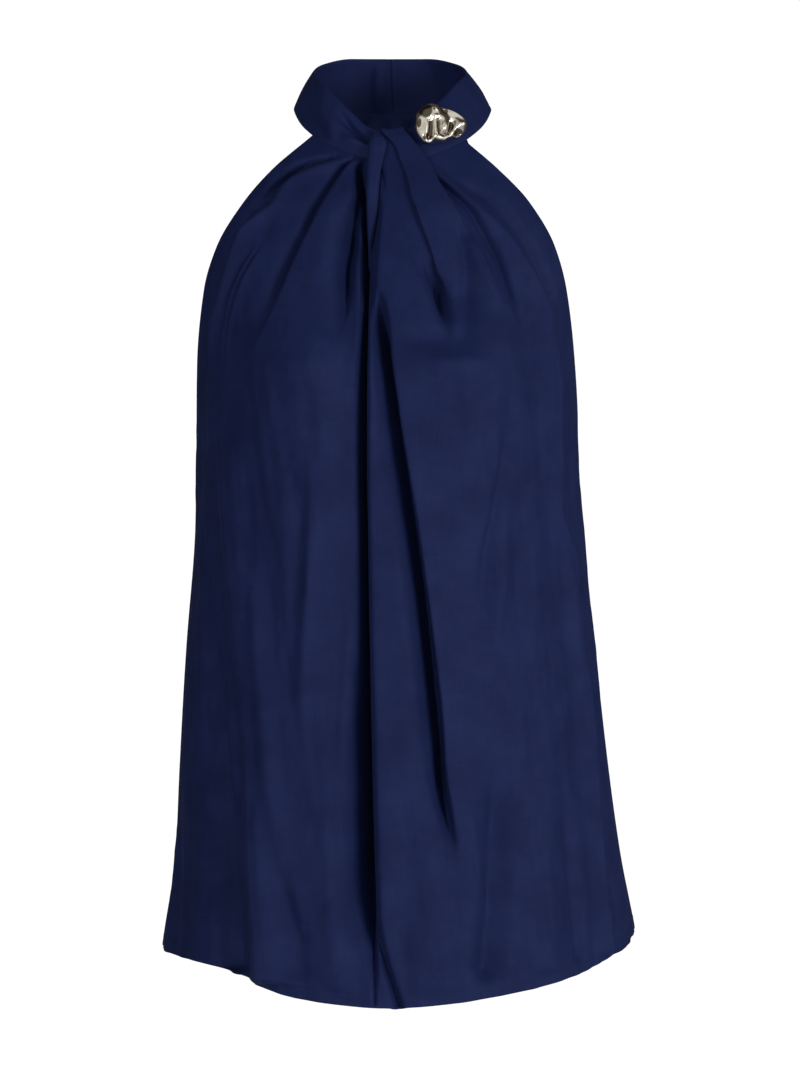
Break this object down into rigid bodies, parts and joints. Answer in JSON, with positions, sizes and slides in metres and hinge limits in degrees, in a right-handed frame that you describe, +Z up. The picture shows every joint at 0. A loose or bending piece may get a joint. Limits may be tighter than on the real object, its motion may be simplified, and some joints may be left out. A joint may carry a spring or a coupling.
{
  "type": "halter neck top",
  "caption": "Sleeveless satin halter top with a stand-up neckband, a twisted knot at the throat, a curved hem and a moulded metal button.",
  "frame": {"origin": "on the neck's axis, level with the neckband's seam at the nape, where the neck holds the top", "axes": "+Z up, along the garment's length; +X to the right as seen from the front; the front faces -Y"},
  "size_m": [0.3597, 0.2558, 0.7101],
  "materials": {
    "satin": "navy sandwashed satin, soft sheen",
    "neckband_satin": "navy sandwashed satin, doubled",
    "button_metal": "polished warm silver"
  },
  "bodies": {
    "root": {"front_left": "satin", "front_right": "satin", "back": "satin", "neckband_left": "neckband_satin", "neckband_right": "neckband_satin", "knot_flap": "neckband_satin", "knot_strand": "neckband_satin", "button": "button_metal", "button_shank": "button_metal"}
  },
  "joints": []
}
